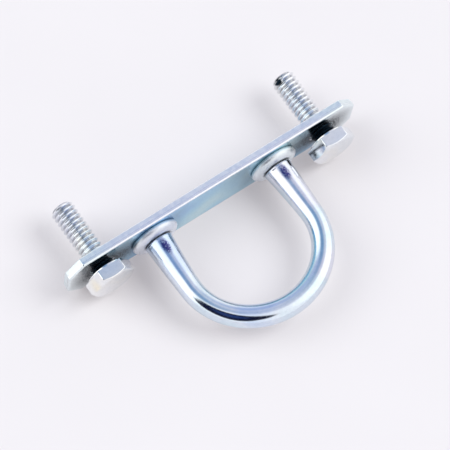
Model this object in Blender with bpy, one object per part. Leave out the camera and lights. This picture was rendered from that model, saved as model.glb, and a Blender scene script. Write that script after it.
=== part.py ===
"""Pad eye: a flat bar plate, a U-shaped eye riveted to it over two collars, and two hex bolts.

The origin is the centre of the plate's back face. +X runs along the plate, +Y is the way the
bolts' threaded ends point, and +Z runs across the plate's width. Lengths are in metres.
"""
import math

import bmesh
import bpy
from mathutils import Vector

MM = 0.001

# Base plate: flat steel bar with its four corners cut off at 45 degrees
PLATE_LENGTH = 86.0 * MM
PLATE_WIDTH = 16.0 * MM
PLATE_THICKNESS = 2.3 * MM
CORNER_CUT = 4.0 * MM
EDGE_ROUND = 0.3 * MM

# Eye: round bar, thicker at its two roots, bent to a half ellipse
BAR_RADIUS = 3.0 * MM
ROOT_RADIUS = 3.8 * MM
ROOT_TAPER = 16.0 * MM
LEG_SPACING = 36.0 * MM
BOW_WIDTH = 36.7 * MM
BOW_DEPTH = 17.2 * MM
BOW_CENTRE = 18.7 * MM
TENON_RADIUS = 2.9 * MM
RIVET_RADIUS = 3.9 * MM
RIVET_DEPTH = 1.0 * MM
BAR_SIDES = 24
BOW_STEPS = 40
LEG_STEPS = 8

# Collars: domed rings between the eye's shoulders and the plate
COLLAR_RADIUS = 6.5 * MM
COLLAR_FOOT_RADIUS = 6.3 * MM
COLLAR_TOP_RADIUS = 4.3 * MM
COLLAR_HEIGHT = 2.0 * MM
COLLAR_BULGE_HEIGHT = 0.6 * MM
COLLAR_SIDES = 32
DOME_STEPS = 6

# Bolts: 1/4 inch, 20 threads to the inch, full thread, 7/16 inch across flats
BOLT_SPACING = 66.4 * MM
BOLT_LENGTH = 20.0 * MM
THREAD_RADIUS = 3.15 * MM
THREAD_ROOT_RADIUS = 2.45 * MM
THREAD_PITCH = 1.27 * MM
POINT_RADIUS = 2.3 * MM
POINT_LENGTH = 0.8 * MM
NECK_LENGTH = 0.5 * MM
HEAD_ACROSS_FLATS = 11.1 * MM
HEAD_HEIGHT = 3.9 * MM
HEAD_CROWN_RADIUS = 5.2 * MM
CROWN_ANGLE = math.radians(30)
WASHER_FACE_RADIUS = 5.2 * MM
WASHER_FACE_HEIGHT = 0.5 * MM
HEAD_GAPS = {"left": 1.6 * MM, "right": 2.5 * MM}
BOLT_SIDES = 24
ROWS_PER_THREAD = 4

# Clearances between neighbouring pieces
BOLT_HOLE_RADIUS = THREAD_RADIUS + 0.35 * MM
TENON_CLEARANCE = 0.3 * MM
SEAT_GAP = 0.1 * MM

SIDES_OF_X = {"left": -1, "right": 1}


def clear_scene():
    for old in list(bpy.data.objects):
        bpy.data.objects.remove(old, do_unlink=True)


def zinc(name, colour, roughness):
    """Bright zinc plate: a metal with its own tint and polish."""
    material = bpy.data.materials.new(name)
    material.use_nodes = True
    shader = material.node_tree.nodes["Principled BSDF"]
    shader.inputs["Base Color"].default_value = (*colour, 1)
    shader.inputs["Metallic"].default_value = 1.0
    shader.inputs["Roughness"].default_value = roughness
    return material


def add_object(name, bm, material=None, location=(0, 0, 0)):
    """Turn a bmesh into a smooth-shaded object whose hard edges stay sharp."""
    bmesh.ops.recalc_face_normals(bm, faces=bm.faces)
    mesh = bpy.data.meshes.new(name)
    bm.to_mesh(mesh)
    bm.free()
    mesh.shade_smooth()
    mesh.set_sharp_from_angle(angle=math.radians(35))
    thing = bpy.data.objects.new(name, mesh)
    thing.location = location
    bpy.context.scene.collection.objects.link(thing)
    if material:
        mesh.materials.append(material)
    return thing


def loft(rings):
    """Join rings of equally many points into one closed skin with a flat cap on each end."""
    bm = bmesh.new()
    loops = [[bm.verts.new(point) for point in ring] for ring in rings]
    count = len(loops[0])
    for lower, upper in zip(loops, loops[1:]):
        for i in range(count):
            j = (i + 1) % count
            bm.faces.new((lower[i], lower[j], upper[j], upper[i]))
    bm.faces.new(loops[0])
    bm.faces.new(reversed(loops[-1]))
    return bm


def circle(radius, y, sides):
    """A ring about the Y axis."""
    turns = [math.tau * i / sides for i in range(sides)]
    return [Vector((radius * math.cos(a), y, radius * math.sin(a))) for a in turns]


def lathe(profile, sides):
    """Turn a closed profile of (radius, y) points about the Y axis into a ring-shaped skin."""
    bm = bmesh.new()
    loops = [[bm.verts.new(point) for point in circle(radius, y, sides)] for radius, y in profile]
    for k, lower in enumerate(loops):
        upper = loops[(k + 1) % len(loops)]
        for i in range(sides):
            j = (i + 1) % sides
            bm.faces.new((lower[i], lower[j], upper[j], upper[i]))
    return bm


def cut(target, name, rings, location):
    """Take a turned shape out of the target with a hidden cutter."""
    cutter = add_object(name, loft(rings), location=location)
    cutter.hide_render = True
    cutter.display_type = "WIRE"
    boolean = target.modifiers.new(name, "BOOLEAN")
    boolean.operation = "DIFFERENCE"
    boolean.solver = "EXACT"
    boolean.object = cutter


# ---------------------------------------------------------------- base plate

def plate_outline():
    """The eight corners of the bar, seen from the front, in order."""
    end = PLATE_LENGTH / 2
    edge = PLATE_WIDTH / 2
    quarter = [(end, edge - CORNER_CUT), (end - CORNER_CUT, edge)]
    top = quarter + [(-x, z) for x, z in reversed(quarter)]
    return top + [(-x, -z) for x, z in top]


def make_plate(material):
    bm = bmesh.new()
    back = bm.faces.new([bm.verts.new((x, 0, z)) for x, z in plate_outline()])
    front = bmesh.ops.extrude_face_region(bm, geom=[back])["geom"]
    moved = [part for part in front if isinstance(part, bmesh.types.BMVert)]
    bmesh.ops.translate(bm, verts=moved, vec=(0, -PLATE_THICKNESS, 0))
    plate = add_object("base_plate", bm, material)

    bevel = plate.modifiers.new("edge_round", "BEVEL")
    bevel.width = EDGE_ROUND
    bevel.segments = 2
    bevel.limit_method = "ANGLE"

    beyond = 1.0 * MM
    hole = TENON_RADIUS + TENON_CLEARANCE
    sink = RIVET_RADIUS + TENON_CLEARANCE
    for side, sign in SIDES_OF_X.items():
        bolt_hole = [circle(BOLT_HOLE_RADIUS, y, 32) for y in (-PLATE_THICKNESS - beyond, beyond)]
        cut(plate, "bolt_hole_" + side, bolt_hole, (sign * BOLT_SPACING / 2, 0, 0))
        sunk_hole = [
            circle(hole, -PLATE_THICKNESS - beyond, BAR_SIDES),
            circle(hole, -RIVET_DEPTH - TENON_CLEARANCE, BAR_SIDES),
            circle(sink, 0, BAR_SIDES),
            circle(sink, beyond, BAR_SIDES),
        ]
        cut(plate, "rivet_hole_" + side, sunk_hole, (sign * LEG_SPACING / 2, 0, 0))


# ---------------------------------------------------------------- eye

def root_radius(distance):
    """The bar's radius at a distance from the plate: full at the root, easing down to the bar's own."""
    share = max(0.0, 1.0 - distance / ROOT_TAPER)
    return BAR_RADIUS + (ROOT_RADIUS - BAR_RADIUS) * share ** 1.5


def leg_stations(sign):
    """Centres, directions and radii down one leg, from its rivet to the start of the bow."""
    root_x = sign * LEG_SPACING / 2
    bow_x = sign * BOW_WIDTH / 2
    ahead = Vector((0, -1, 0))
    shoulder = -PLATE_THICKNESS - COLLAR_HEIGHT - 2 * SEAT_GAP
    turned = [
        (-SEAT_GAP, RIVET_RADIUS),
        (-RIVET_DEPTH, TENON_RADIUS),
        (shoulder, TENON_RADIUS),
        (shoulder, ROOT_RADIUS - SEAT_GAP),
    ]
    stations = [(Vector((root_x, y, 0)), ahead, radius) for y, radius in turned]
    start = shoulder - SEAT_GAP
    for step in range(LEG_STEPS):
        share = step / LEG_STEPS
        y = start + (-BOW_CENTRE - start) * share
        x = root_x + (bow_x - root_x) * (1 - (1 - share) ** 2)
        stations.append((Vector((x, y, 0)), ahead, root_radius(-PLATE_THICKNESS - COLLAR_HEIGHT - y)))
    return stations


def bow_stations():
    """Centres, directions and radii round the half ellipse, from the left leg to the right."""
    stations = []
    for step in range(BOW_STEPS + 1):
        angle = math.pi * (1 + step / BOW_STEPS)
        across, deep = BOW_WIDTH / 2, BOW_DEPTH
        centre = Vector((across * math.cos(angle), -BOW_CENTRE + deep * math.sin(angle), 0))
        ahead = Vector((-across * math.sin(angle), deep * math.cos(angle), 0)).normalized()
        radius = root_radius(-PLATE_THICKNESS - COLLAR_HEIGHT - centre.y)
        stations.append((centre, ahead, radius))
    return stations


def make_eye(material):
    """One round bar: down the left leg, round the bow and back up the right leg."""
    left = leg_stations(-1)
    right = [(centre, -ahead, radius) for centre, ahead, radius in reversed(leg_stations(1))]
    rings = []
    for centre, ahead, radius in left + bow_stations() + right:
        sideways = ahead.cross(Vector((0, 0, 1)))
        ring = []
        for i in range(BAR_SIDES):
            turn = math.tau * i / BAR_SIDES
            ring.append(centre + radius * (math.cos(turn) * sideways + Vector((0, 0, math.sin(turn)))))
        rings.append(ring)
    add_object("eye_bar", loft(rings), material)


# ---------------------------------------------------------------- collars

def collar_profile():
    """Half section of a collar: bore, foot, bulge, then a quarter-ellipse dome to the seat."""
    bore = TENON_RADIUS + TENON_CLEARANCE
    foot = -PLATE_THICKNESS - SEAT_GAP
    top = foot - COLLAR_HEIGHT
    profile = [(bore, top), (bore, foot), (COLLAR_FOOT_RADIUS, foot)]
    for step in range(DOME_STEPS + 1):
        angle = math.pi / 2 * step / DOME_STEPS
        radius = COLLAR_TOP_RADIUS + (COLLAR_RADIUS - COLLAR_TOP_RADIUS) * math.cos(angle)
        rise = COLLAR_BULGE_HEIGHT + (COLLAR_HEIGHT - COLLAR_BULGE_HEIGHT) * math.sin(angle)
        profile.append((radius, foot - rise))
    return profile


def make_collars(material):
    for side, sign in SIDES_OF_X.items():
        place = (sign * LEG_SPACING / 2, 0, 0)
        add_object("collar_" + side, lathe(collar_profile(), COLLAR_SIDES), material, place)


# ---------------------------------------------------------------- bolts

def thread_rings():
    """Rings up the stud. Each point's radius follows the thread's wave at its own height and turn."""
    rows_per_metre = ROWS_PER_THREAD / THREAD_PITCH
    first = math.ceil((NECK_LENGTH + THREAD_PITCH / ROWS_PER_THREAD) * rows_per_metre)
    last = math.floor((BOLT_LENGTH - POINT_LENGTH / 2) * rows_per_metre)
    sides_per_row = BOLT_SIDES // ROWS_PER_THREAD
    rings = []
    for row in range(first, last + 1):
        ring = []
        for i in range(BOLT_SIDES):
            turn = math.tau * i / BOLT_SIDES
            y = (row / ROWS_PER_THREAD - (i % sides_per_row) / BOLT_SIDES) * THREAD_PITCH
            phase = (row + i // sides_per_row) / ROWS_PER_THREAD % 1
            wave = 1 - abs(2 * phase - 1)
            radius = THREAD_ROOT_RADIUS + (THREAD_RADIUS - THREAD_ROOT_RADIUS) * wave
            radius = min(radius, point_limit(y))
            ring.append(Vector((radius * math.cos(turn), y, radius * math.sin(turn))))
        rings.append(ring)
    return rings


def point_limit(y):
    """The largest radius that the stud's coned point allows at height y."""
    slope = (THREAD_RADIUS - POINT_RADIUS) / POINT_LENGTH
    return POINT_RADIUS + slope * (BOLT_LENGTH - y)


def hexagon(height_at):
    """A hexagonal ring with as many points as the stud's rings, two flats facing up and down."""
    ring = []
    for i in range(BOLT_SIDES):
        turn = math.tau * i / BOLT_SIDES
        off_flat = (turn + math.pi / 6) % (math.pi / 3) - math.pi / 6
        radius = HEAD_ACROSS_FLATS / 2 / math.cos(math.pi / 6 - abs(off_flat))
        ring.append(Vector((radius * math.cos(turn), height_at(radius), radius * math.sin(turn))))
    return ring


def crown_height(radius):
    """How far the head's coned crown leaves a point at this radius below the bearing face."""
    drop = max(0.0, radius - HEAD_CROWN_RADIUS) * math.tan(CROWN_ANGLE)
    return -HEAD_HEIGHT + drop


def bolt_rings():
    """All rings of one bolt, from the outer face of its head to its point, bearing face at y = 0."""
    head = [
        circle(HEAD_CROWN_RADIUS, -HEAD_HEIGHT, BOLT_SIDES),
        hexagon(crown_height),
        hexagon(lambda radius: -WASHER_FACE_HEIGHT),
        circle(WASHER_FACE_RADIUS, -WASHER_FACE_HEIGHT, BOLT_SIDES),
        circle(WASHER_FACE_RADIUS, 0, BOLT_SIDES),
    ]
    neck = [
        circle(THREAD_ROOT_RADIUS, 0, BOLT_SIDES),
        circle(THREAD_ROOT_RADIUS, NECK_LENGTH, BOLT_SIDES),
    ]
    point = [circle(POINT_RADIUS, BOLT_LENGTH, BOLT_SIDES)]
    return head + neck + thread_rings() + point


def make_bolts(material):
    """Each bolt's origin lies on its own axis, in the plane of its bearing face."""
    for side, sign in SIDES_OF_X.items():
        place = (sign * BOLT_SPACING / 2, -PLATE_THICKNESS - HEAD_GAPS[side], 0)
        add_object("bolt_" + side, loft(bolt_rings()), material, place)


def main():
    clear_scene()
    make_plate(zinc("plate_zinc", (0.62, 0.68, 0.75), 0.22))
    make_eye(zinc("eye_zinc", (0.66, 0.72, 0.84), 0.12))
    make_collars(zinc("collar_zinc", (0.68, 0.73, 0.80), 0.20))
    make_bolts(zinc("bolt_zinc", (0.72, 0.73, 0.76), 0.28))


main()
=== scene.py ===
"""Looks of a zinc-plated pad eye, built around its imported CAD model.

Every piece that shows is a finer mesh than the CAD solid that it replaces: a plate with sheared
and rolled-over edges, a swept eye with riveted tails, two turned collars, and two bolts with
rolled 60 degree threads and cold-formed heads. Lengths are in metres, in the CAD frame: +X runs
along the plate, +Y is the way the threaded ends point, and -Z is down.
"""
import math

import bmesh
import bpy
from mathutils import Matrix, Vector


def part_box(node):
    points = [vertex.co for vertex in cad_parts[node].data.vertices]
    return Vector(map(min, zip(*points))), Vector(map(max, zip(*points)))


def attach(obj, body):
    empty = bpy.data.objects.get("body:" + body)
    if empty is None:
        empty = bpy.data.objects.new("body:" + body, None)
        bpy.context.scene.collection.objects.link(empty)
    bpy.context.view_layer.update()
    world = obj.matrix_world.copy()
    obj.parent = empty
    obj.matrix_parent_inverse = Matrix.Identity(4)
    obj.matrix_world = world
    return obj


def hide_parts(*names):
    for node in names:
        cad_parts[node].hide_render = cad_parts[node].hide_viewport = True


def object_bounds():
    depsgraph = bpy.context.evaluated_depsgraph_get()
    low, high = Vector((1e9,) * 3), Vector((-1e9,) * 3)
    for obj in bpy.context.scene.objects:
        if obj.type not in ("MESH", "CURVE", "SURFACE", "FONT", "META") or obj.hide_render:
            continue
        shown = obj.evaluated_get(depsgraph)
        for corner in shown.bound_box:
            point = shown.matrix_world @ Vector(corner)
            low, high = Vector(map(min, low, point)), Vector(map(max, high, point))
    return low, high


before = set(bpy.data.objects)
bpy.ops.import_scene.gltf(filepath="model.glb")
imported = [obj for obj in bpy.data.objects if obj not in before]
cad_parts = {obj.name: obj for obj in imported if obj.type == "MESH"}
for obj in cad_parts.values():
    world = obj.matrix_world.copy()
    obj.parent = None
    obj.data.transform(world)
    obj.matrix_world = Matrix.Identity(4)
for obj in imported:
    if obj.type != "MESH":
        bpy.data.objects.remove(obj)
cad_low, cad_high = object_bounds()

MM = 0.001
SHARP_ANGLE = math.radians(38)
SIDES = ("left", "right")

# A point this near a flat face counts as on it, and an edge is rounded in this many steps
ON_FACE = 0.01 * MM
ROUND_STEPS = 5

# Base plate
HOLE_RADIUS = 3.5 * MM
HOLE_CHAMFER = 0.2 * MM
HOLE_SIDES = 72
CORNER_CUT = 4.0 * MM
CORNER_ROUND = 0.45 * MM
ROLL_OVER = 0.5 * MM
BURR_WIDTH = 0.12 * MM
FRACTURE_INSET = 0.20 * MM
BURNISH_DEPTH = 1.25 * MM
EDGE_WAVE = 0.10 * MM
EDGE_SPACING = 0.8 * MM
# Painted dark reflection round the bolt holes, and painted shade round the collars' feet, on the plate's
# front
HOLE_REFLECTION_RADIUS = 4.0 * MM
HOLE_REFLECTION_DRIFT = -0.2 * MM
HOLE_REFLECTION_FADE = 1.0 * MM
HOLE_REFLECTION_SQUEEZE = 0.72
FOOT_SHADE_FADE = 1.2 * MM
PALE_FROM = 29.0 * MM
PALE_FADE = 7.0 * MM
PALE_BACK = 0.45

# Eye
BAR_RADIUS = 3.0 * MM
ROOT_RADIUS = 3.8 * MM
ROOT_TAPER = 16.0 * MM
BOW_CENTRE = 18.7 * MM
BOW_HALF_WIDTH = 18.35 * MM
TENON_RADIUS = 2.9 * MM
RIVET_RADIUS = 3.9 * MM
RIVET_DEPTH = 1.0 * MM
SHOULDER_ROUND = 0.35 * MM
SHOULDER_LIFT = 0.1 * MM
# Painted shade round the riveted ends and under the shoulders
RIVET_SHADE_FROM = 3.5 * MM
RIVET_SHADE_FADE = 0.35 * MM
# Painted dark reflection: a navy patch on top of each of the eye's roots
ROOT_REFLECTION_REACH = 3.0 * MM
ROOT_REFLECTION_CORE = 0.4 * MM
ROOT_REFLECTION_FADE = 1.1 * MM
BEND_FLATTENING = 0.02
BAR_SIDES = 64
LEG_STEPS = 40
BOW_STEPS = 150

# Collars
COLLAR_FOOT_RADIUS = 6.3 * MM
COLLAR_TOP_RADIUS = 4.3 * MM
COLLAR_BULGE_HEIGHT = 0.6 * MM
COLLAR_FOOT_ROUND = 0.12 * MM
COLLAR_LIP = 0.18 * MM
COLLAR_SIDES = 96
DOME_STEPS = 16

# Hair-wide gap between pieces that are pressed together
FIT_GAP = 0.05 * MM

# Bolts
PITCH = 1.27 * MM
THREAD_RADIUS = 3.15 * MM
THREAD_ROOT_RADIUS = 2.42 * MM
POINT_RADIUS = 2.3 * MM
POINT_LENGTH = 0.8 * MM
UNDERCUT_ROUND = 0.3 * MM
HEAD_HEIGHT = 3.9 * MM
HEAD_CROWN_RADIUS = 5.2 * MM
CROWN_ANGLE = math.radians(30)
HEAD_EDGE = 0.12 * MM
HEAD_CORNER_ROUND = 0.32 * MM
WASHER_FACE_RADIUS = 5.2 * MM
WASHER_FACE_HEIGHT = 0.5 * MM
STUD_SIDES = 64
HEAD_EDGE_STEPS = 10
# Painted shade on the bolts: next to the head, in the thread grooves and at the thread's start
NECK_SHADE = 2.6 * MM
NECK_SHADE_FADE = 1.2 * MM
GROOVE_SHADE_DEPTH = 0.35 * MM
START_SETBACK = 1.2 * MM
START_SHADE_SIZE = 0.7 * MM
WARM_CORE = 0.8 * MM
WARM_FADE = 1.6 * MM

# One pitch of a rolled thread: share of the pitch, share of the thread's height
THREAD_PROFILE = (
    (0.00, 0.00), (0.04, 0.01), (0.08, 0.05), (0.11, 0.12), (0.21, 0.44), (0.31, 0.76),
    (0.335, 0.815), (0.37, 0.86), (0.46, 0.98), (0.49, 1.00), (0.51, 1.00), (0.54, 0.98),
    (0.63, 0.86), (0.665, 0.815), (0.69, 0.76), (0.79, 0.44), (0.89, 0.12), (0.92, 0.05),
    (0.96, 0.01),
)


# ---------------------------------------------------------------- mesh helpers

def circle(radius, y, sides, centre=(0, 0)):
    """A ring of points about an axis that runs along Y."""
    turns = [math.tau * i / sides for i in range(sides)]
    x, z = centre
    return [Vector((x + radius * math.cos(a), y, z + radius * math.sin(a))) for a in turns]


def add_skin(bm, rings, cap_first=True, cap_last=True):
    """Join rings of equally many points into a tube and return its first and last loops."""
    loops = [[bm.verts.new(point) for point in ring] for ring in rings]
    count = len(loops[0])
    for lower, upper in zip(loops, loops[1:]):
        for i in range(count):
            j = (i + 1) % count
            bm.faces.new((lower[i], lower[j], upper[j], upper[i]))
    if cap_first:
        bm.faces.new(loops[0])
    if cap_last:
        bm.faces.new(list(reversed(loops[-1])))
    return loops[0], loops[-1]


def make_object(name, bm):
    """Turn a bmesh into a smooth-shaded object, with edges sharper than SHARP_ANGLE kept sharp."""
    bmesh.ops.recalc_face_normals(bm, faces=bm.faces)
    mesh = bpy.data.meshes.new(name)
    bm.to_mesh(mesh)
    bm.free()
    mesh.shade_smooth()
    mesh.set_sharp_from_angle(angle=SHARP_ANGLE)
    thing = bpy.data.objects.new(name, mesh)
    bpy.context.scene.collection.objects.link(thing)
    return thing


def keep_wide_faces_flat(thing):
    normals = thing.modifiers.new("wide_faces_flat", "WEIGHTED_NORMAL")
    normals.keep_sharp = True
    normals.weight = 80


def mark(thing, name, value_at):
    """Store a number at each point for the material: painted shade, painted dark reflection, pale or
    warm.
    """
    values = thing.data.attributes.new(name, "FLOAT", "POINT")
    for vertex in thing.data.vertices:
        values.data[vertex.index].value = value_at(vertex)


def finish_piece(thing, node, body, material):
    thing.data.materials.clear()
    thing.data.materials.append(material)
    keep_wide_faces_flat(thing)
    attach(thing, body)
    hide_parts(node)


def smooth_step(value):
    value = min(1.0, max(0.0, value))
    return value * value * (3 - 2 * value)


# ---------------------------------------------------------------- base plate

def rounded_corner(corner, before, after, radius, steps=5):
    """Points round one corner of an outline, on an arc that touches both of its edges."""
    to_before = (before - corner).normalized()
    to_after = (after - corner).normalized()
    half_angle = to_before.angle(to_after) / 2
    reach = radius / math.tan(half_angle)
    middle = corner + (to_before + to_after).normalized() * (radius / math.sin(half_angle))
    first = (corner + to_before * reach - middle).normalized()
    last = (corner + to_after * reach - middle).normalized()
    return [middle + radius * first.slerp(last, k / (steps - 1)) for k in range(steps)]


def plate_corners(inset):
    """The corners of the plate's outline, moved inwards."""
    _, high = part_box("base_plate")
    end, edge = high.x - inset, high.z - inset
    corner_cut = CORNER_CUT - (2 - math.sqrt(2)) * inset
    quarter = [Vector((end, edge - corner_cut)), Vector((end - corner_cut, edge))]
    top = quarter + [Vector((-p.x, p.y)) for p in reversed(quarter)]
    return top + [-p for p in top]


def plate_outline(inset):
    """The plate's outline moved inwards, with rounded corners and points along its edges.

    The whole outline sets how many points each edge has, so that every inset has as many."""
    whole = plate_corners(0)
    corners = plate_corners(inset)
    arcs = []
    for i, corner in enumerate(corners):
        before, after = corners[i - 1], corners[(i + 1) % len(corners)]
        arcs.append(rounded_corner(corner, before, after, CORNER_ROUND))
    points = []
    for i, arc in enumerate(arcs):
        points += arc
        ahead = arcs[(i + 1) % len(arcs)][0]
        steps = max(1, round((whole[(i + 1) % len(whole)] - whole[i]).length / EDGE_SPACING))
        points += [arc[-1].lerp(ahead, k / steps) for k in range(1, steps)]
    return points


def node_x(node):
    """Where the middle of a CAD node is along the plate."""
    low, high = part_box(node)
    return (low.x + high.x) / 2


def edge_wave(x, z):
    """A slow, uneven wave for the line where a sheared edge turns rough."""
    along = (x + 0.6 * z) / MM
    return EDGE_WAVE * (math.sin(0.31 * along) + 0.6 * math.sin(0.83 * along + 1.1)) / 1.6


def plate_rings():
    """Rings from the back face, over the sheared edge, to the front face.

    Each section is an inset and a y, and whether its y follows the edge's wave."""
    low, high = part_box("base_plate")
    back, front = high.y, low.y
    sections = [
        (1.2 * MM, back, 0),
        (BURR_WIDTH + 0.12 * MM, back, 0),
        (BURR_WIDTH, back - 0.02 * MM, 0),
        (FRACTURE_INSET, back - 0.12 * MM, 0),
        (0.03 * MM, back - BURNISH_DEPTH + 0.05 * MM, 1),
        (0.0, back - BURNISH_DEPTH, 1),
        (0.0, back - BURNISH_DEPTH - 0.12 * MM, 1),
    ]
    for step in range(ROUND_STEPS + 1):
        turn = math.pi / 2 * step / ROUND_STEPS
        inset = ROLL_OVER * (1 - math.cos(turn))
        sections.append((inset, front + ROLL_OVER * (1 - math.sin(turn)), 0))
    sections.append((ROLL_OVER + 0.15 * MM, front, 0))
    rings = []
    for inset, y, wavy in sections:
        ring = plate_outline(inset)
        rings.append([Vector((p.x, y + wavy * edge_wave(p.x, p.y), p.y)) for p in ring])
    return rings


def hole_rings(low, high):
    """Rings through the plate, back to front: two chamfered bolt holes, two sunk rivet holes."""
    holes = []
    for side in SIDES:
        x = node_x("bolt_" + side)
        sections = [
            (HOLE_RADIUS + HOLE_CHAMFER, high.y),
            (HOLE_RADIUS, high.y - HOLE_CHAMFER),
            (HOLE_RADIUS, low.y + HOLE_CHAMFER),
            (HOLE_RADIUS + HOLE_CHAMFER, low.y),
        ]
        holes.append([circle(radius, y, HOLE_SIDES, (x, 0)) for radius, y in sections])
        x = node_x("collar_" + side)
        sections = [
            (RIVET_RADIUS + FIT_GAP, high.y),
            (RIVET_RADIUS + FIT_GAP, high.y - 0.1 * MM),
            (TENON_RADIUS + FIT_GAP, high.y - RIVET_DEPTH),
            (TENON_RADIUS + FIT_GAP, low.y),
        ]
        holes.append([circle(radius, y, BAR_SIDES, (x, 0)) for radius, y in sections])
    return holes


def make_plate(face_material, edge_material, torn_material):
    low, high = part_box("base_plate")
    bm = bmesh.new()
    for rings in [plate_rings()] + hole_rings(low, high):
        add_skin(bm, rings, False, False)
    for face_y in (low.y, high.y):
        rim = [e for e in bm.edges if e.is_boundary and abs(e.verts[0].co.y - face_y) < 1e-7]
        bmesh.ops.triangle_fill(bm, edges=rim, use_beauty=True)
    plate = make_object("base_plate_sheared", bm)
    feet = [Vector((node_x("collar_" + side), low.y, 0)) for side in SIDES]
    holes = [Vector((node_x("bolt_" + side) + HOLE_REFLECTION_DRIFT, low.y, 0)) for side in SIDES]

    def painted_shade_at(vertex):
        """On the front: painted shade round the collars' feet, and a painted dark reflection round the
        bolt holes.
        """
        point = vertex.co
        if point.y > low.y + ON_FACE:
            return 0.0
        from_collar = min((point - foot).length for foot in feet)
        from_hole = min(math.hypot(HOLE_REFLECTION_SQUEEZE * (point.x - hole.x), point.z) for hole in holes)
        near_collar = 1 - smooth_step((from_collar - COLLAR_FOOT_RADIUS) / FOOT_SHADE_FADE)
        near_hole = 1 - smooth_step((from_hole - HOLE_REFLECTION_RADIUS) / HOLE_REFLECTION_FADE)
        return max(0.8 * near_collar, 1.7 * near_hole)

    def pale_at(vertex):
        """The plating is paler towards the ends, and all over the back."""
        near_end = smooth_step((abs(vertex.co.x) - PALE_FROM) / PALE_FADE)
        return max(near_end, PALE_BACK) if vertex.co.y > high.y - ON_FACE else near_end

    mark(plate, "painted_shade", painted_shade_at)
    mark(plate, "pale", pale_at)
    finish_piece(plate, "base_plate", "plate_and_eye", face_material)
    plate.data.materials.append(edge_material)
    plate.data.materials.append(torn_material)
    for polygon in plate.data.polygons:
        if abs(polygon.normal.y) < 0.9:
            middle = polygon.center
            is_torn = middle.y > high.y - BURNISH_DEPTH + edge_wave(middle.x, middle.z)
            polygon.material_index = 2 if is_torn else 1


# ---------------------------------------------------------------- eye

def root_radius(y):
    """The bar's radius at a height: full at the root, easing down to the bar's own."""
    collar_low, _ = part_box("collar_left")
    share = max(0.0, 1.0 - (collar_low.y - y) / ROOT_TAPER)
    return BAR_RADIUS + (ROOT_RADIUS - BAR_RADIUS) * share ** 1.5


def leg_stations(side):
    """Centre, direction, radius and flattening down one leg, from its rivet to the bow."""
    collar_low, collar_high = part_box("collar_" + side)
    root_x = (collar_low.x + collar_high.x) / 2
    bow_x = math.copysign(BOW_HALF_WIDTH, root_x)
    shoulder = collar_low.y - SHOULDER_LIFT
    ahead = Vector((0, -1, 0))
    # The rivet's hammered face from its middle out, then the tail and the shoulder
    turned = [
        (-0.05 * MM, 0.5 * MM), (-0.05 * MM, 1.3 * MM), (-0.11 * MM, 2.0 * MM),
        (-0.12 * MM, 2.5 * MM), (-0.03 * MM, 3.1 * MM), (-0.03 * MM, 3.5 * MM),
        (-0.08 * MM, 3.75 * MM), (-0.16 * MM, 3.86 * MM), (-0.28 * MM, 3.78 * MM),
        (-RIVET_DEPTH, TENON_RADIUS), (shoulder, TENON_RADIUS),
        (shoulder, ROOT_RADIUS - SHOULDER_ROUND - 0.15 * MM),
    ]
    for step in range(ROUND_STEPS + 1):
        turn = math.pi / 2 * step / ROUND_STEPS
        y = shoulder - SHOULDER_ROUND * (1 - math.cos(turn))
        turned.append((y, ROOT_RADIUS - SHOULDER_ROUND * (1 - math.sin(turn))))
    stations = [(Vector((root_x, y, 0)), ahead, radius, 0.0) for y, radius in turned]
    start = shoulder - SHOULDER_ROUND
    for step in range(1, LEG_STEPS):
        share = step / LEG_STEPS
        y = start + (-BOW_CENTRE - start) * share
        x = root_x + (bow_x - root_x) * (1 - (1 - share) ** 2)
        bend = BEND_FLATTENING * smooth_step(2 * share - 1)
        stations.append((Vector((x, y, 0)), ahead, root_radius(y), bend))
    return stations


def bow_stations():
    """Centre, direction, radius and flattening round the half ellipse, from left to right."""
    eye_low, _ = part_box("eye_bar")
    deep = -eye_low.y - BAR_RADIUS - BOW_CENTRE
    stations = []
    for step in range(BOW_STEPS + 1):
        turn = math.pi * (1 + step / BOW_STEPS)
        centre = Vector((BOW_HALF_WIDTH * math.cos(turn), -BOW_CENTRE + deep * math.sin(turn), 0))
        ahead = Vector((-BOW_HALF_WIDTH * math.sin(turn), deep * math.cos(turn), 0)).normalized()
        stations.append((centre, ahead, root_radius(centre.y), BEND_FLATTENING))
    return stations


def bar_ring(centre, ahead, radius, flattening):
    """One section of the bar. Bending presses it a little flatter across the bend."""
    sideways = ahead.cross(Vector((0, 0, 1)))
    ring = []
    for i in range(BAR_SIDES):
        turn = math.tau * i / BAR_SIDES
        in_plane = radius * (1 - flattening) * math.cos(turn) * sideways
        ring.append(centre + in_plane + Vector((0, 0, radius * math.sin(turn))))
    return ring


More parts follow.
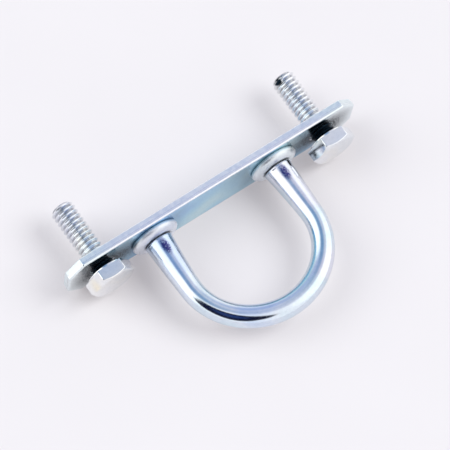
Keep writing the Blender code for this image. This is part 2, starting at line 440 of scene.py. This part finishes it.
def make_eye(material):
    left = leg_stations("left")
    right = [(c, -a, r, f) for c, a, r, f in reversed(leg_stations("right"))]
    bm = bmesh.new()
    add_skin(bm, [bar_ring(*station) for station in left + bow_stations() + right])
    eye = make_object("eye_bar_bent", bm)
    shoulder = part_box("collar_left")[0].y - SHOULDER_LIFT
    reflection_y = shoulder - ROOT_REFLECTION_REACH
    centres = [Vector((node_x("collar_" + side), reflection_y, ROOT_RADIUS)) for side in SIDES]

    def painted_shade_at(vertex):
        """Painted shade under the shoulders and, more thinly, round the riveted ends."""
        if vertex.co.y > shoulder + 1.0 * MM:
            from_root = min(math.hypot(vertex.co.x - c.x, vertex.co.z) for c in centres)
            return 0.8 * smooth_step((from_root - RIVET_SHADE_FROM) / RIVET_SHADE_FADE)
        return 1 - smooth_step((shoulder - SHOULDER_ROUND * 0.3 - vertex.co.y) / (0.4 * MM))

    def painted_reflection_at(vertex):
        """A painted dark reflection on top of each root."""
        offsets = [vertex.co - centre for centre in centres]
        away = min(Vector((offset.x, 0.5 * offset.y, offset.z)).length for offset in offsets)
        return 1.7 * (1 - smooth_step((away - ROOT_REFLECTION_CORE) / ROOT_REFLECTION_FADE))

    mark(eye, "painted_shade", painted_shade_at)
    mark(eye, "painted_reflection", painted_reflection_at)
    finish_piece(eye, "eye_bar", "plate_and_eye", material)


# ---------------------------------------------------------------- collars

def collar_profile(foot, top, outer):
    """Half section of a collar, bore first: foot, bulge, dome and a rolled lip at the top."""
    bore = TENON_RADIUS + FIT_GAP
    profile = [(bore, foot)]
    for step in range(4):
        turn = math.pi / 2 * step / 3
        radius = COLLAR_FOOT_RADIUS - COLLAR_FOOT_ROUND * (1 - math.sin(turn))
        profile.append((radius, foot - COLLAR_FOOT_ROUND * (1 - math.cos(turn))))
    bulge = foot - COLLAR_BULGE_HEIGHT
    for step in range(1, 5):
        turn = math.pi / 2 * step / 4
        radius = COLLAR_FOOT_RADIUS + (outer - COLLAR_FOOT_RADIUS) * math.sin(turn)
        rise = COLLAR_FOOT_ROUND + (COLLAR_BULGE_HEIGHT - COLLAR_FOOT_ROUND) * (1 - math.cos(turn))
        profile.append((radius, foot - rise))
    for step in range(1, DOME_STEPS + 1):
        turn = math.pi / 2 * step / DOME_STEPS
        radius = COLLAR_TOP_RADIUS + (outer - COLLAR_TOP_RADIUS) * math.cos(turn)
        profile.append((radius, bulge + (top - bulge) * math.sin(turn)))
    profile.append((COLLAR_TOP_RADIUS - COLLAR_LIP, top + 0.04 * MM))
    profile.append((COLLAR_TOP_RADIUS - 2 * COLLAR_LIP, top + 0.16 * MM))
    profile.append((bore, top + 0.16 * MM))
    return profile


def make_collar(side, material):
    low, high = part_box("collar_" + side)
    centre = ((low.x + high.x) / 2, 0)
    foot, top = high.y + 0.08 * MM, low.y
    bm = bmesh.new()
    profile = collar_profile(foot, top, (high.x - low.x) / 2)
    loops = add_skin(
        bm, [circle(radius, y, COLLAR_SIDES, centre) for radius, y in profile], False, False
    )
    for i in range(COLLAR_SIDES):
        j = (i + 1) % COLLAR_SIDES
        bm.faces.new((loops[1][i], loops[1][j], loops[0][j], loops[0][i]))
    collar = make_object("collar_" + side + "_domed", bm)

    def painted_shade_at(vertex):
        """Painted shade round the leg and in the corner between the collar's foot and the plate."""
        from_axis = math.hypot(vertex.co.x - centre[0], vertex.co.z)
        near_leg = 1 - smooth_step((from_axis - ROOT_RADIUS) / (0.2 * MM))
        near_foot = 1 - smooth_step(abs(vertex.co.y - foot) / (0.2 * MM))
        return max(0.6 * near_leg, 0.4 * near_foot)

    mark(collar, "painted_shade", painted_shade_at)
    finish_piece(collar, "collar_" + side, "plate_and_eye", material)


# ---------------------------------------------------------------- bolts

def head_outline(half_flats, inset):
    """The head's hexagon moved inwards, corners rounded, two flats facing up and down."""
    corner_distance = (half_flats - inset) / math.cos(math.pi / 6)
    corners = []
    for k in range(6):
        turn = math.tau * k / 6
        corners.append(corner_distance * Vector((math.cos(turn), math.sin(turn))))
    points = []
    for k, corner in enumerate(corners):
        before, after = corners[k - 1], corners[(k + 1) % 6]
        arc = rounded_corner(corner, before, after, HEAD_CORNER_ROUND)
        points += arc
        next_arc = rounded_corner(after, corner, corners[(k + 2) % 6], HEAD_CORNER_ROUND)
        points += [arc[-1].lerp(next_arc[0], m / HEAD_EDGE_STEPS) for m in range(1, HEAD_EDGE_STEPS)]
    return points


def crown_height(radius):
    """How high the head's coned crown leaves a point at this radius over the bearing face."""
    return HEAD_HEIGHT - max(0.0, radius - HEAD_CROWN_RADIUS) * math.tan(CROWN_ANGLE)


def head_rings(half_flats):
    """Rings from the middle of the head's outer face to the start of its bearing face."""
    outline = head_outline(half_flats, 0)
    turns = [math.atan2(p.y, p.x) for p in outline]

    def turned(radius, height):
        return [Vector((radius * math.cos(a), -height, radius * math.sin(a))) for a in turns]

    def shaped(inset, height_at):
        points = head_outline(half_flats, inset)
        return [Vector((p.x, -height_at(p.length), p.y)) for p in points]

    base = WASHER_FACE_HEIGHT
    return [
        turned(0.8 * MM, HEAD_HEIGHT - 0.02 * MM),
        turned(3.4 * MM, HEAD_HEIGHT - 0.02 * MM),
        turned(HEAD_CROWN_RADIUS - 0.25 * MM, HEAD_HEIGHT),
        turned(HEAD_CROWN_RADIUS - 0.12 * MM, HEAD_HEIGHT),
        turned(HEAD_CROWN_RADIUS - 0.02 * MM, HEAD_HEIGHT - 0.02 * MM),
        turned(HEAD_CROWN_RADIUS + 0.08 * MM, crown_height(HEAD_CROWN_RADIUS + 0.08 * MM)),
        shaped(HEAD_EDGE, crown_height),
        shaped(HEAD_EDGE * 0.3, lambda radius: crown_height(radius) - HEAD_EDGE * 0.3),
        shaped(0, lambda radius: crown_height(radius) - HEAD_EDGE),
        shaped(0, lambda radius: base + HEAD_EDGE),
        shaped(HEAD_EDGE * 0.3, lambda radius: base + HEAD_EDGE * 0.3),
        shaped(HEAD_EDGE, lambda radius: base),
        turned(WASHER_FACE_RADIUS + 0.06 * MM, base),
        turned(WASHER_FACE_RADIUS, base - 0.06 * MM),
        turned(WASHER_FACE_RADIUS, 0.06 * MM),
        turned(WASHER_FACE_RADIUS - 0.06 * MM, 0),
        turned(WASHER_FACE_RADIUS - 0.2 * MM, 0),
        turned(THREAD_RADIUS + 0.2 * MM, 0),
    ]


def stud_radius(y, height, length):
    """The stud's radius at a height share of the thread, eased at the head and at the point."""
    full = smooth_step((y - UNDERCUT_ROUND) / PITCH)
    radius = THREAD_ROOT_RADIUS + (THREAD_RADIUS - THREAD_ROOT_RADIUS) * height * full
    if y < UNDERCUT_ROUND:
        rest = UNDERCUT_ROUND - max(0.0, y)
        radius += UNDERCUT_ROUND - math.sqrt(UNDERCUT_ROUND ** 2 - rest ** 2)
    slope = (THREAD_RADIUS - POINT_RADIUS) / POINT_LENGTH
    return min(radius, POINT_RADIUS + slope * (length - y))


def add_stud(bm, length, first_turn):
    """A strip one thread wide, wound right-handed up the stud and joined to its next turn."""
    columns = []
    for n in range((math.ceil(length / PITCH) + 3) * STUD_SIDES):
        turn = math.tau * n / STUD_SIDES
        angle = turn + first_turn
        column = []
        for share, height in THREAD_PROFILE:
            y = PITCH * (turn / math.tau + share - 1)
            radius = stud_radius(y, height, length)
            place = (radius * math.cos(angle), y, -radius * math.sin(angle))
            column.append(bm.verts.new(place))
        columns.append(column)
    for n in range(len(columns) - STUD_SIDES - 1):
        here = columns[n] + [columns[n + STUD_SIDES][0]]
        ahead = columns[n + 1] + [columns[n + 1 + STUD_SIDES][0]]
        for m in range(len(here) - 1):
            bm.faces.new((here[m], ahead[m], ahead[m + 1], here[m + 1]))
    bmesh.ops.delete(bm, geom=[v for v in bm.verts if not v.link_faces], context="VERTS")


def trim(bm, y, keep_above):
    """Cut the stud square at a height."""
    away = Vector((0, -1, 0)) if keep_above else Vector((0, 1, 0))
    parts = bm.verts[:] + bm.edges[:] + bm.faces[:]
    bmesh.ops.bisect_plane(
        bm, geom=parts, plane_co=(0, y, 0), plane_no=away, clear_outer=True, dist=1e-8
    )


def open_edges(bm):
    return [edge for edge in bm.edges if edge.is_boundary]


def stitch(bm, inner, outer):
    """Fill the flat ring between two round loops about the Y axis with triangles."""
    def turn(vertex):
        return math.atan2(vertex.co.z, vertex.co.x) % math.tau

    loops = [sorted(loop, key=turn) for loop in (inner, outer)]
    turns = [[turn(v) for v in loop] + [turn(loop[0]) + math.tau] for loop in loops]
    loops = [loop + [loop[0]] for loop in loops]
    at = [0, 0]
    while at[0] < len(loops[0]) - 1 or at[1] < len(loops[1]) - 1:
        ahead = [turns[k][at[k] + 1] if at[k] < len(loops[k]) - 1 else math.inf for k in (0, 1)]
        k = 0 if ahead[0] <= ahead[1] else 1
        bm.faces.new((loops[0][at[0]], loops[1][at[1]], loops[k][at[k] + 1]))
        at[k] += 1


def make_bolt(side, first_turn, start_turn, start_shade, material):
    """One bolt. first_turn is how far its thread is turned, in radians. start_turn is where
    round the stud the painted shadow at the thread's start lies, and the next argument how strong that
    shadow is."""
    low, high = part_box("bolt_" + side)
    bearing = low.y + HEAD_HEIGHT
    length = high.y - bearing
    across_flats = high.z - low.z
    bm = bmesh.new()
    add_stud(bm, length, first_turn)
    trim(bm, length, keep_above=False)
    bmesh.ops.holes_fill(bm, edges=open_edges(bm), sides=0)
    trim(bm, 0, keep_above=True)
    neck_loop = {vertex for edge in open_edges(bm) for vertex in edge.verts}
    _, bearing_loop = add_skin(bm, head_rings(across_flats / 2), cap_last=False)
    stitch(bm, neck_loop, bearing_loop)
    place = Vector(((low.x + high.x) / 2, bearing, (low.z + high.z) / 2))
    bmesh.ops.translate(bm, verts=bm.verts, vec=place)
    bolt = make_object("bolt_" + side + "_threaded", bm)

    start = Vector((-math.cos(start_turn), 0, math.sin(start_turn))) * THREAD_RADIUS
    start += Vector((place.x, high.y - START_SETBACK, place.z))
    warm_spot = Vector((low.x + 0.9 * MM, bearing - 0.6 * HEAD_HEIGHT, low.z + 0.77 * across_flats))

    def painted_shade_at(vertex):
        """Painted shade on the first threads by the head, a little in the grooves, and where the thread
        starts.
        """
        point = vertex.co
        if point.y < bearing + ON_FACE:
            return 0.0
        from_axis = math.hypot(point.x - place.x, point.z - place.z)
        valley = 1 - smooth_step((from_axis - THREAD_ROOT_RADIUS) / GROOVE_SHADE_DEPTH)
        neck = 1 - smooth_step((point.y - bearing - NECK_SHADE) / NECK_SHADE_FADE)
        from_start = 1 - smooth_step(((point - start).length - START_SHADE_SIZE) / START_SHADE_SIZE)
        return max(3 * neck, 0.7 * valley, start_shade * from_start)

    def warm_at(vertex):
        """A yellowish bloom of passivation on one flat of the left head."""
        if side != "left":
            return 0.0
        return 1 - smooth_step(((vertex.co - warm_spot).length - WARM_CORE) / WARM_FADE)

    mark(bolt, "painted_shade", painted_shade_at)
    mark(bolt, "warm", warm_at)
    finish_piece(bolt, "bolt_" + side, "bolt_" + side, material)


# ---------------------------------------------------------------- materials

class Graph:
    """A material's node tree, with short calls that add and join nodes."""

    def __init__(self, tree):
        self.tree = tree

    def add(self, kind, inputs=None, **settings):
        node = self.tree.nodes.new(kind)
        for name, value in settings.items():
            setattr(node, name, value)
        for name, value in (inputs or {}).items():
            if isinstance(value, bpy.types.NodeSocket):
                self.tree.links.new(value, node.inputs[name])
            else:
                node.inputs[name].default_value = value
        return node

    def noise(self, vector, scale, detail=2.0, roughness=0.5):
        inputs = {"Vector": vector, "Scale": scale, "Detail": detail, "Roughness": roughness}
        return self.add("ShaderNodeTexNoise", inputs).outputs["Fac"]

    def ramp(self, value, stops):
        node = self.add("ShaderNodeValToRGB", {"Fac": value})
        elements = node.color_ramp.elements
        while len(elements) < len(stops):
            elements.new(0.5)
        for element, (position, colour) in zip(elements, stops):
            element.position = position
            element.color = (*colour, 1)
        return node.outputs["Color"]

    def mix(self, share, first, second, blend="MIX"):
        node = self.add("ShaderNodeMix", data_type="RGBA", blend_type=blend)
        for socket, value in ((node.inputs[0], share), (node.inputs[6], first), (node.inputs[7], second)):
            if isinstance(value, bpy.types.NodeSocket):
                self.tree.links.new(value, socket)
            else:
                socket.default_value = value
        return node.outputs[2]

    def map_range(self, value, low, high, to_low, to_high):
        inputs = {"Value": value, "From Min": low, "From Max": high, "To Min": to_low, "To Max": to_high}
        return self.add("ShaderNodeMapRange", inputs).outputs["Result"]

    def stretch(self, vector, scale):
        return self.add("ShaderNodeMapping", {"Vector": vector, "Scale": scale}).outputs["Vector"]

    def bump(self, height, distance, normal=None):
        inputs = {"Height": height, "Distance": distance, "Strength": 1.0}
        if normal is not None:
            inputs["Normal"] = normal
        return self.add("ShaderNodeBump", inputs).outputs["Normal"]


PALE_ZINC = (0.84, 0.91, 0.92)
WARM_ZINC = (0.96, 0.86, 0.62)
# Navy of the painted dark reflection on the eye's roots
PAINTED_REFLECTION_NAVY = (0.06, 0.06, 0.24)


def zinc(name, tints, speck_and_shade_dark, roughness, grain, dents):
    """Bright zinc plate: a tint that drifts with the passivation, faint grain, dark specks, painted shade
    in recesses and a painted dark reflection.

    tints are the colours that the passivation drifts through. grain is the stretch of the
    drawing marks along X, Y and Z, and dents the height of the surface's slow unevenness."""
    material = bpy.data.materials.new(name)
    material.use_nodes = True
    graph = Graph(material.node_tree)
    shader = material.node_tree.nodes["Principled BSDF"]
    place = graph.add("ShaderNodeTexCoord").outputs["Object"]
    # The marks: painted shade, painted dark reflection, paler plating and a warm bloom
    painted_shade, painted_reflection, pale, warm = (
        graph.add("ShaderNodeAttribute", attribute_name=layer).outputs["Fac"]
        for layer in ("painted_shade", "painted_reflection", "pale", "warm")
    )

    drift = graph.noise(place, 75.0, 1.5, 0.4)
    stops = [(0.34 + 0.32 * k / (len(tints) - 1), tint) for k, tint in enumerate(tints)]
    colour = graph.ramp(drift, stops)
    colour = graph.mix(pale, colour, (*PALE_ZINC, 1))
    colour = graph.mix(warm, colour, (*WARM_ZINC, 1))
    bloom = graph.noise(place, 900.0, 4.0, 0.6)
    bloom_shade = graph.ramp(bloom, [(0.35, (0.92, 0.93, 0.945)), (0.65, (1.0, 1.0, 1.0))])
    colour = graph.mix(1.0, colour, bloom_shade, "MULTIPLY")
    specks = graph.map_range(graph.noise(place, 5200.0, 2.0), 0.70, 0.78, 0.0, 0.45)
    colour = graph.mix(specks, colour, (*[0.55 * c for c in speck_and_shade_dark], 1))
    # Painted shade: the mask darkens the colour, patchily, towards the dark colour
    painted_shade_mottle = graph.map_range(graph.noise(place, 2500.0, 3.0), 0.3, 0.7, 0.35, 0.8)
    painted_shade_share = graph.add("ShaderNodeMath", {0: painted_shade, 1: painted_shade_mottle}, operation="MULTIPLY").outputs[0]
    colour = graph.mix(painted_shade_share, colour, (*speck_and_shade_dark, 1))
    # Painted dark reflection: a patchy navy where its mask says
    patchy = graph.map_range(graph.noise(place, 3200.0, 3.0), 0.38, 0.62, 0.3, 1.0)
    painted_reflection_share = graph.add("ShaderNodeMath", {0: painted_reflection, 1: patchy}, operation="MULTIPLY").outputs[0]
    colour = graph.mix(painted_reflection_share, colour, (*PAINTED_REFLECTION_NAVY, 1))

    marks = graph.noise(graph.stretch(place, grain), 2600.0, 3.0, 0.6)
    rough_bloom = graph.map_range(bloom, 0.3, 0.7, roughness * 0.8, roughness * 1.25)
    rough_marks = graph.map_range(marks, 0.35, 0.7, -0.02, 0.04)
    rough = graph.add("ShaderNodeMath", {0: rough_bloom, 1: rough_marks}, operation="ADD").outputs[0]
    rough = graph.add(
        "ShaderNodeMath", {0: painted_shade_share, 1: 0.25, 2: rough}, operation="MULTIPLY_ADD", use_clamp=True
    ).outputs[0]

    slow = graph.noise(place, 260.0, 1.0, 0.3)
    normal = graph.bump(slow, dents)
    normal = graph.bump(bloom, dents * 0.05, normal)
    normal = graph.bump(marks, 0.0008 * MM, normal)

    shader.inputs["Metallic"].default_value = 1.0
    links = material.node_tree.links
    links.new(colour, shader.inputs["Base Color"])
    links.new(rough, shader.inputs["Roughness"])
    links.new(normal, shader.inputs["Normal"])
    return material


FLOOR_GLOW = (0.325, 0.30, 0.31)


def paper_white():
    """The floor: a white sheet lit from below too, with a faint lavender cast and slight mottle."""
    material = bpy.data.materials.new("floor_white")
    material.use_nodes = True
    graph = Graph(material.node_tree)
    shader = material.node_tree.nodes["Principled BSDF"]
    place = graph.add("ShaderNodeTexCoord").outputs["Object"]
    mottle = graph.noise(place, 14.0, 3.0)
    colour = graph.ramp(mottle, [(0.3, (0.355, 0.355, 0.365)), (0.7, (0.37, 0.37, 0.38))])
    material.node_tree.links.new(colour, shader.inputs["Base Color"])
    shader.inputs["Roughness"].default_value = 0.7
    shader.inputs["Specular IOR Level"].default_value = 0.0
    shader.inputs["Emission Color"].default_value = (*FLOOR_GLOW, 1)
    shader.inputs["Emission Strength"].default_value = 1.0
    return material


# ---------------------------------------------------------------- stage

def direction(azimuth, elevation):
    """A unit vector from its angle from +X towards +Y and its height over the floor, in degrees."""
    a, e = math.radians(azimuth), math.radians(elevation)
    return Vector((math.cos(a) * math.cos(e), math.sin(a) * math.cos(e), math.sin(e)))


# Soft areas of the studio round the object: azimuth, elevation, full within, gone beyond, colour
STUDIO_AREAS = (
    (75, 48, 20, 46, (0.50, 0.58, 0.80)),
    (50, 72, 10, 30, (0.70, 0.72, 0.84)),
    (105, 68, 8, 26, (0.24, 0.38, 0.60)),
    (90, 0, 8, 34, (0.52, 0.70, 0.80)),
    (150, 30, 18, 44, (1.60, 1.60, 1.58)),
    (-25, 32, 24, 42, (1.40, 1.40, 1.38)),
    (200, 38, 16, 19.5, (0.004, 0.006, 0.025)),
    (222, 46, 26, 32, (0.005, 0.008, 0.035)),
    (249, 45, 14, 18, (0.004, 0.006, 0.025)),
    (222, 52, 4, 18, (0.025, 0.05, 0.16)),
    (0, -90, 91, 97, (0.925, 0.912, 0.955)),
)
STUDIO_WHITE = (1.10, 1.09, 1.10)


def light_studio():
    """A white studio with bright soft areas, a bluish far side and dark patches near the camera."""
    world = bpy.data.worlds.new("studio")
    world.use_nodes = True
    bpy.context.scene.world = world
    graph = Graph(world.node_tree)
    towards = graph.add("ShaderNodeTexCoord").outputs["Generated"]
    colour = (*STUDIO_WHITE, 1)
    for azimuth, elevation, full, gone, area_colour in STUDIO_AREAS:
        aim = direction(azimuth, elevation)
        cosine = graph.add(
            "ShaderNodeVectorMath", {0: towards, 1: aim}, operation="DOT_PRODUCT"
        ).outputs["Value"]
        limits = {
            "Value": cosine,
            "From Min": math.cos(math.radians(gone)),
            "From Max": math.cos(math.radians(full)),
        }
        share = graph.add(
            "ShaderNodeMapRange", limits, interpolation_type="SMOOTHSTEP"
        ).outputs["Result"]
        colour = graph.mix(share, colour, (*area_colour, 1))
    background = world.node_tree.nodes["Background"]
    world.node_tree.links.new(colour, background.inputs["Color"])


def add_lamp(name, azimuth, elevation, width, strength):
    """A soft far lamp for the shadows. What the metal mirrors is the studio itself."""
    lamp = bpy.data.lights.new(name, "SUN")
    lamp.angle = math.radians(width)
    lamp.energy = strength
    thing = bpy.data.objects.new(name, lamp)
    thing.visible_glossy = False
    thing.rotation_euler = direction(azimuth, elevation).to_track_quat("Z", "Y").to_euler()
    bpy.context.scene.collection.objects.link(thing)


def add_floor():
    """A wide floor that the plate's long edge lies on."""
    half = 6.0
    bm = bmesh.new()
    corners = [(-half, -half), (half, -half), (half, half), (-half, half)]
    bm.faces.new([bm.verts.new((x, y, 0)) for x, y in corners])
    floor = make_object("floor", bm)
    floor.location.z = cad_low.z - 0.02 * MM
    floor.data.materials.append(paper_white())


# Camera: it looks down at the object from its front left, and is turned a little about its own axis
CAMERA_AIM = Vector((-1.66, -9.88, 0)) * MM
CAMERA_AZIMUTH = math.radians(-47.22)
CAMERA_ELEVATION = math.radians(67.97)
CAMERA_ROLL = math.radians(13.26)
CAMERA_DISTANCE = 757.4 * MM
CAMERA_LENS = 244.8


def add_camera():
    a, e = CAMERA_AZIMUTH, CAMERA_ELEVATION
    back = Vector((math.sin(a) * math.cos(e), -math.cos(a) * math.cos(e), math.sin(e)))
    right = Vector((math.cos(a), math.sin(a), 0))
    right = Matrix.Rotation(CAMERA_ROLL, 3, back) @ right
    up = back.cross(right)
    camera = bpy.data.objects.new("camera", bpy.data.cameras.new("camera"))
    camera.data.lens = CAMERA_LENS
    camera.data.clip_end = 20.0
    turned = Matrix((right, up, back)).transposed().to_4x4()
    camera.matrix_world = Matrix.Translation(CAMERA_AIM + back * CAMERA_DISTANCE) @ turned
    bpy.context.scene.collection.objects.link(camera)
    bpy.context.scene.camera = camera


def build_object():
    face_tints = [(0.30, 0.54, 0.82), (0.36, 0.64, 0.85), (0.44, 0.71, 0.84), (0.54, 0.77, 0.84)]
    edge_tints = [(0.84, 0.86, 0.93), (0.90, 0.90, 0.95), (0.86, 0.88, 0.92)]
    torn_tints = [(0.86, 0.87, 0.92), (0.90, 0.91, 0.94), (0.84, 0.87, 0.92)]
    eye_tints = [(0.62, 0.72, 0.88), (0.74, 0.80, 0.88), (0.68, 0.80, 0.87), (0.78, 0.80, 0.88)]
    collar_tints = [(0.82, 0.85, 0.92), (0.90, 0.92, 0.95), (0.85, 0.90, 0.92)]
    bolt_tints = [(0.82, 0.84, 0.89), (0.90, 0.91, 0.93), (0.91, 0.91, 0.89), (0.87, 0.90, 0.92)]
    # Dark colour for the specks, and for the painted shade
    speck_and_shade_dark = (0.012, 0.025, 0.040)
    face_zinc = zinc("zinc_on_plate_faces", face_tints, speck_and_shade_dark, 0.10, (0.05, 1, 1), 0.006 * MM)
    edge_zinc = zinc("zinc_on_plate_edges", edge_tints, speck_and_shade_dark, 0.20, (1, 0.1, 1), 0.004 * MM)
    torn_zinc = zinc("zinc_on_torn_edge", torn_tints, speck_and_shade_dark, 0.42, (1, 0.1, 1), 0.012 * MM)
    make_plate(face_zinc, edge_zinc, torn_zinc)
    make_eye(zinc("zinc_on_eye", eye_tints, speck_and_shade_dark, 0.12, (1, 1, 0.2), 0.004 * MM))
    collar_zinc = zinc("zinc_on_collars", collar_tints, speck_and_shade_dark, 0.45, (1, 1, 1), 0.008 * MM)
    bolt_zinc = zinc("zinc_on_bolts", bolt_tints, speck_and_shade_dark, 0.11, (1, 0.2, 1), 0.006 * MM)
    for side in SIDES:
        make_collar(side, collar_zinc)
    make_bolt("left", 0.4, 1.1, 0.5, bolt_zinc)
    make_bolt("right", 2.1, 0.75, 2.5, bolt_zinc)


build_object()
light_studio()
add_lamp("key", -25, 50, 36, 2.12)
add_lamp("back", 140, 42, 44, 1.41)
add_floor()
add_camera()
bpy.context.scene.view_settings.view_transform = "Standard"
